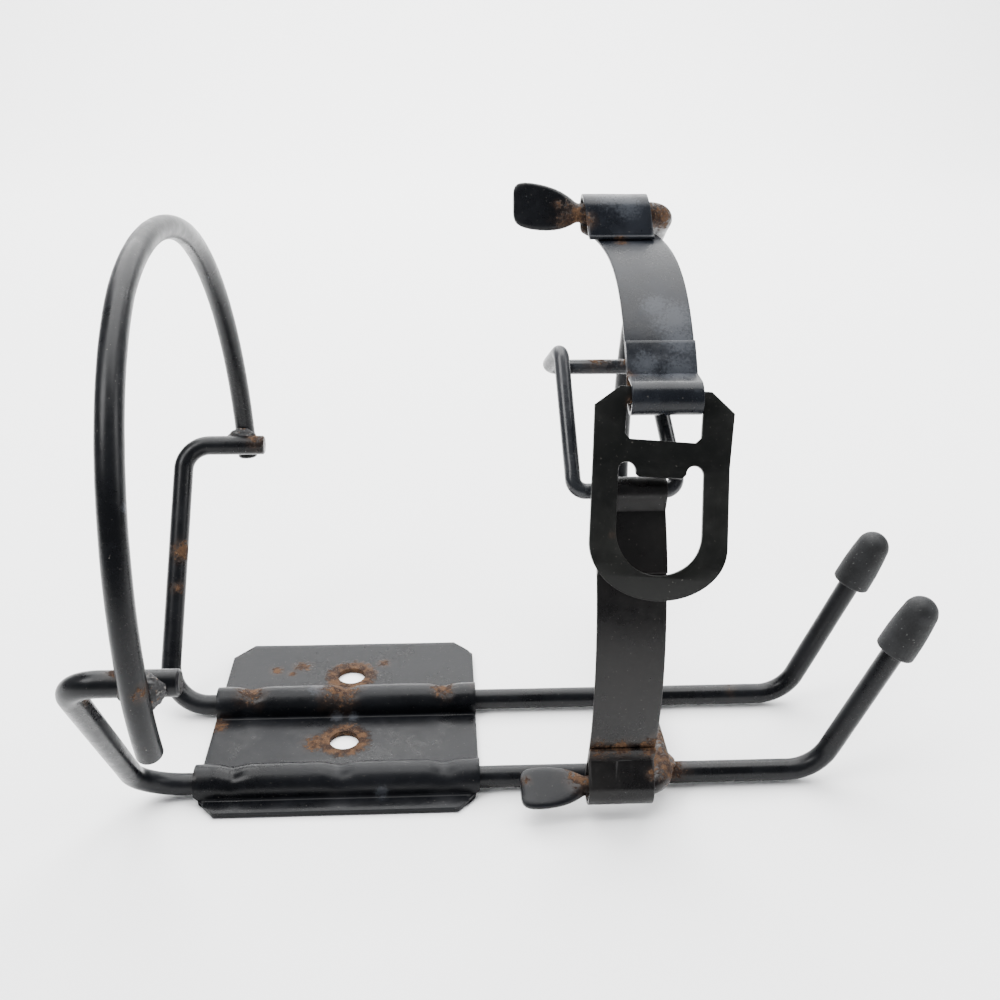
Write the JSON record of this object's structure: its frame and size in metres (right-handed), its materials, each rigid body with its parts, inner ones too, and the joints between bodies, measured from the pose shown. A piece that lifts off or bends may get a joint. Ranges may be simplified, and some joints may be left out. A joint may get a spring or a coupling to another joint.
{
  "type": "wall strap bracket",
  "caption": "Wire-form wall bracket that cradles a small cylinder, with a welded hoop, hinged steel straps, an over-centre latch and rubber-capped hooks.",
  "frame": {"origin": "on the back face of the mounting plate, on its solid land between the near screw hole and the front channel", "axes": "+Z away from the wall, +X along the rods from the hoop towards the capped hooks, +Y from the strap side towards the bow"},
  "size_m": [0.2172, 0.1591, 0.1534],
  "materials": {
    "plate_black_paint": "semi-gloss, rust round the holes",
    "front_rod_black_paint": "semi-gloss",
    "rear_rod_black_paint": "semi-gloss",
    "base_hoop_black_paint": "semi-gloss",
    "strap_bow_black_paint": "semi-gloss",
    "latch_bail_black_paint": "semi-gloss",
    "lower_strap_black_paint": "semi-gloss, rust in the folds",
    "upper_strap_black_paint": "semi-gloss, rust in the folds",
    "lever_olive_black": "satin, worn at the cut edges",
    "front_cap_rubber": "matte",
    "rear_cap_rubber": "matte",
    "hoop_weld_front_burnt_steel": "rough, heat-marked weld metal",
    "hoop_weld_rear_burnt_steel": "rough, heat-marked weld metal",
    "bow_weld_front_burnt_steel": "rough, heat-marked weld metal",
    "bow_weld_rear_burnt_steel": "rough, heat-marked weld metal"
  },
  "bodies": {
    "bracket": {"base_plate": "plate_black_paint", "front_rod": "front_rod_black_paint", "rear_rod": "rear_rod_black_paint", "base_hoop": "base_hoop_black_paint", "strap_bow": "strap_bow_black_paint", "front_cap": "front_cap_rubber", "rear_cap": "rear_cap_rubber", "hoop_weld_front": "hoop_weld_front_burnt_steel", "hoop_weld_rear": "hoop_weld_rear_burnt_steel", "bow_weld_front": "bow_weld_front_burnt_steel", "bow_weld_rear": "bow_weld_rear_burnt_steel"},
    "lower_strap": {"lower_strap": "lower_strap_black_paint"},
    "bail": {"latch_bail": "latch_bail_black_paint"},
    "upper_strap": {"upper_strap": "upper_strap_black_paint"},
    "lever": {"latch_lever": "lever_olive_black"}
  },
  "joints": [
    {"name": "lower_strap_swing", "type": "hinge", "parent": "bracket", "child": "lower_strap", "pos_m": [0.0763, -0.0215, 0.0082], "axis": [1, 0, 0], "range_deg": [-30, 0]},
    {"name": "bail_swing", "type": "hinge", "parent": "lower_strap", "child": "bail", "pos_m": [0.0753, -0.00983, 0.09017], "axis": [-1, 0, 0], "range_deg": [0, 60]},
    {"name": "upper_strap_swing", "type": "hinge", "parent": "bracket", "child": "upper_strap", "pos_m": [0.077, 0.046, 0.1474], "axis": [-1, 0, 0], "range_deg": [0, 80]},
    {"name": "lever_swing", "type": "hinge", "parent": "upper_strap", "child": "lever", "pos_m": [0.0841, -0.00599, 0.11325], "axis": [-1, 0, 0], "range_deg": [0, 150]}
  ]
}
